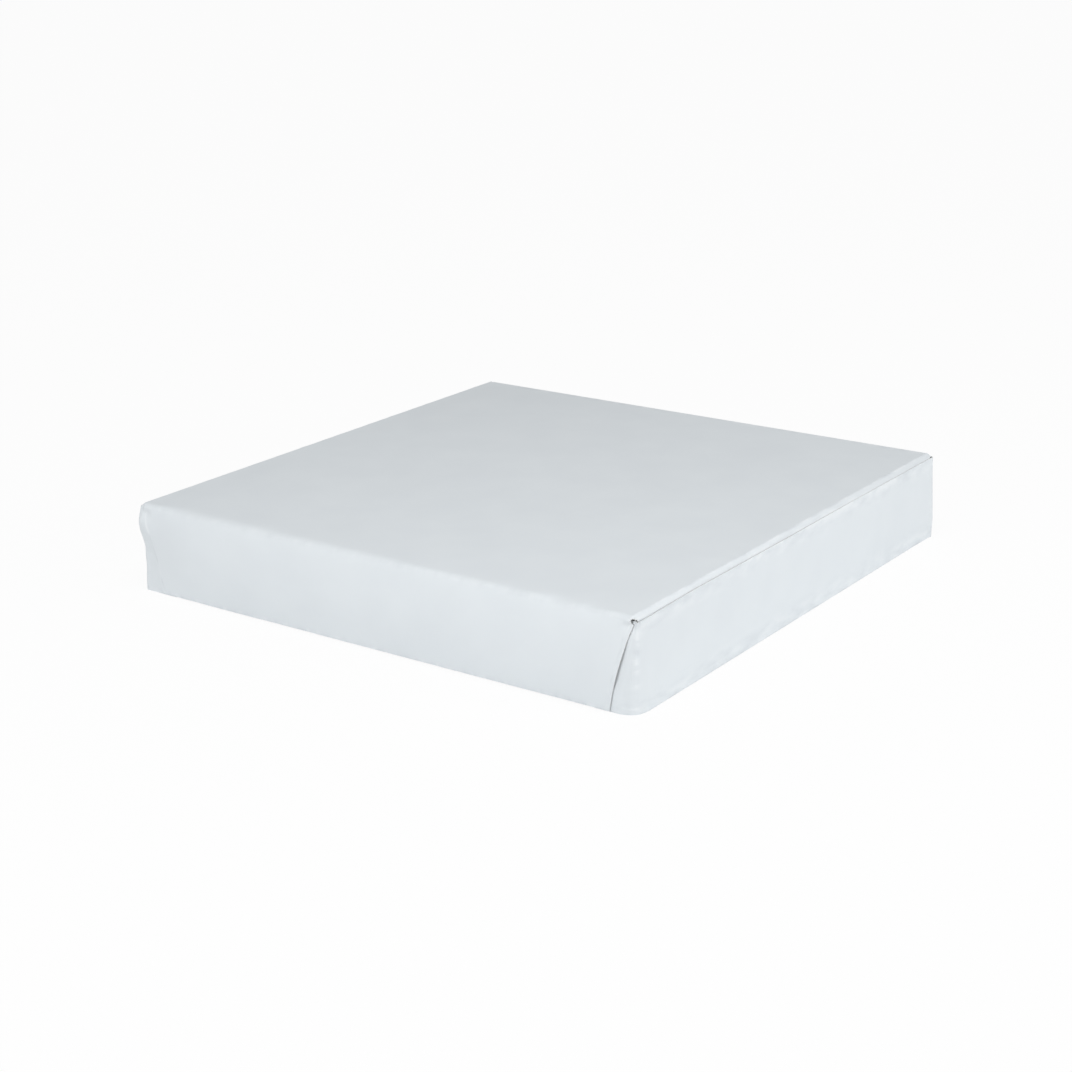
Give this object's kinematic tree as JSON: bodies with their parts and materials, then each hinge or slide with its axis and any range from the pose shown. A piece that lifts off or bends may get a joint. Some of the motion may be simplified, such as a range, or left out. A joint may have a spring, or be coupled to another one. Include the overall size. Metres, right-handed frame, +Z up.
{
  "type": "pizza box",
  "caption": "Plain white folded paperboard pizza box with a hinged lid and an outer front flap that folds up from the lid.",
  "frame": {"origin": "middle of the underside of the tray", "axes": "+Z up, -Y towards the front flap, +Y towards the rear fold that the lid turns on, +X along the front to the right"},
  "size_m": [0.3048, 0.3089, 0.0476],
  "materials": {
    "white_board": "matt clay-coated paperboard"
  },
  "bodies": {
    "tray": {"tray": "white_board"},
    "lid": {"lid": "white_board"},
    "front_flap": {"front_flap": "white_board"}
  },
  "joints": [
    {"name": "lid_hinge", "type": "hinge", "parent": "tray", "child": "lid", "pos_m": [0, 0.1512, 0.0473], "axis": [-1, 0, 0], "range_deg": [0, 180]},
    {"name": "front_flap_fold", "type": "hinge", "parent": "lid", "child": "front_flap", "pos_m": [0, -0.15231, 0.04651], "axis": [-1, 0, 0], "range_deg": [0, 90]}
  ]
}
